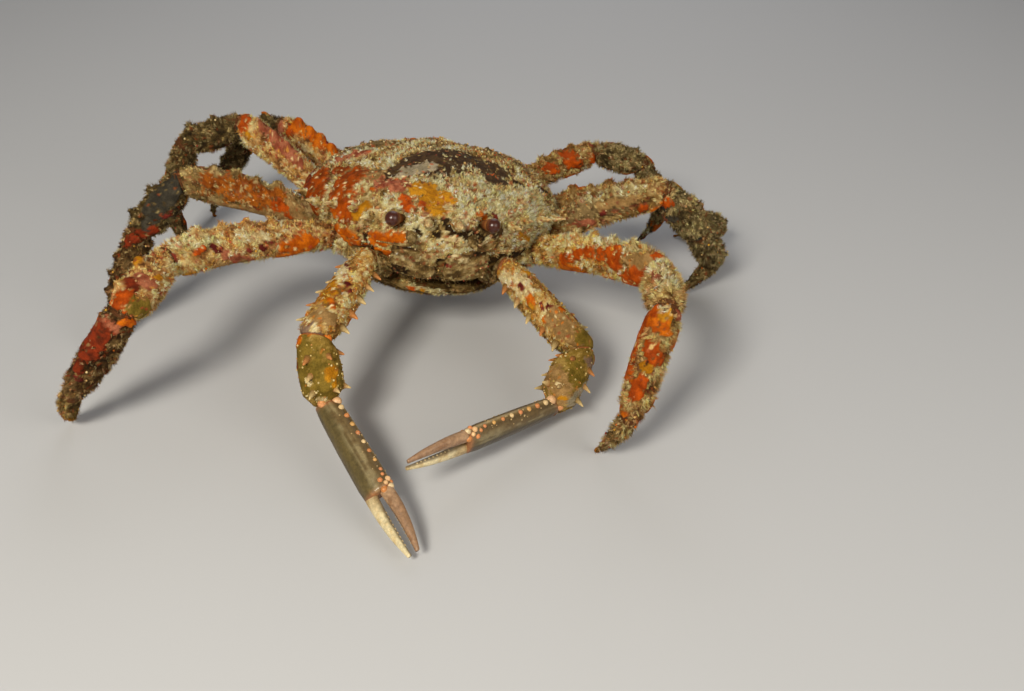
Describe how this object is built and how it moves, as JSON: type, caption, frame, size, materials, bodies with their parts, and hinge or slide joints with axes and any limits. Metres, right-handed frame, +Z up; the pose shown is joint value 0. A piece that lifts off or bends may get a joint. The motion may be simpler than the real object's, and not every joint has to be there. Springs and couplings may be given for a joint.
{
  "type": "channel clinging crab",
  "caption": "Life-size spiny crab with a broad rounded carapace, long walking legs and slim claws, standing with its claws held low in front.",
  "frame": {"origin": "on the floor, under the middle of the crab's overall box", "axes": "+X towards the crab's left side, -Y the way that it faces, turned a little to its left, +Z up"},
  "size_m": [0.3723, 0.3069, 0.1093],
  "materials": {
    "shell": "rough calcified shell under a thin fuzzy growth, mottled olive, cream and orange",
    "leg": "rough calcified shell under a fuzzy growth, tan and olive with orange and red patches",
    "hand": "bare smooth grey-olive shell with a low sheen",
    "underside": "matt calcified shell, khaki beige",
    "eye": "dark glossy eye on a short stalk"
  },
  "bodies": {
    "root": {"carapace": "shell", "thorax": "underside", "abdomen": "underside", "eye_l": "eye", "eye_r": "eye", "antenna_l": "shell", "antenna_r": "shell", "maxilliped_l": "underside", "maxilliped_r": "underside", "leg1_l_coxa": "leg", "leg1_l_merus": "leg", "leg1_l_carpus": "leg", "leg1_l_propodus": "leg", "leg1_l_dactyl": "leg", "leg2_l_coxa": "leg", "leg2_l_merus": "leg", "leg2_l_carpus": "leg", "leg2_l_propodus": "leg", "leg2_l_dactyl": "leg", "leg3_l_coxa": "leg", "leg3_l_merus": "leg", "leg3_l_carpus": "leg", "leg3_l_propodus": "leg", "leg3_l_dactyl": "leg", "leg4_l_coxa": "leg", "leg4_l_merus": "leg", "leg4_l_carpus": "leg", "leg4_l_propodus": "leg", "leg4_l_dactyl": "leg", "leg1_r_coxa": "leg", "leg1_r_merus": "leg", "leg1_r_carpus": "leg", "leg1_r_propodus": "leg", "leg1_r_dactyl": "leg", "leg2_r_coxa": "leg", "leg2_r_merus": "leg", "leg2_r_carpus": "leg", "leg2_r_propodus": "leg", "leg2_r_dactyl": "leg", "leg3_r_coxa": "leg", "leg3_r_merus": "leg", "leg3_r_carpus": "leg", "leg3_r_propodus": "leg", "leg3_r_dactyl": "leg", "leg4_r_coxa": "leg", "leg4_r_merus": "leg", "leg4_r_carpus": "leg", "leg4_r_propodus": "leg", "leg4_r_dactyl": "leg", "claw_l_coxa": "leg", "claw_l_merus": "leg", "claw_l_carpus": "leg", "claw_l_palm": "hand", "claw_l_dactyl": "hand", "claw_r_coxa": "leg", "claw_r_merus": "leg", "claw_r_carpus": "leg", "claw_r_palm": "hand", "claw_r_dactyl": "hand"}
  },
  "joints": []
}
